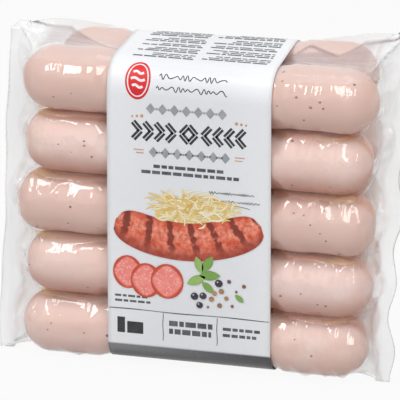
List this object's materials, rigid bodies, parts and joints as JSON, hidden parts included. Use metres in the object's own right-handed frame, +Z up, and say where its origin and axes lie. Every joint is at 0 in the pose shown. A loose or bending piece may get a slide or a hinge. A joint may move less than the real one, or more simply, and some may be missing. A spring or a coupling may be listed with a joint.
{
  "type": "vacuum pack of cooked sausages",
  "caption": "Upright sealed clear pack of pale cooked sausages stacked in rows and two layers, with flat sealed ends and a wide printed paper band round the middle.",
  "frame": {"origin": "centre of the pack's bounding box, on the ground it stands on", "axes": "+Z up the stacked rows, +X along the sausages to the right seen from the front, the printed front of the band faces -Y"},
  "size_m": [0.179, 0.0616, 0.1481],
  "materials": {
    "pouch": "clear glossy film drawn tight over pale pink cooked sausages",
    "label_band": "smooth coated white paper with printed fields of colour"
  },
  "bodies": {
    "root": {"pouch": "pouch", "label_band": "label_band"}
  },
  "joints": []
}
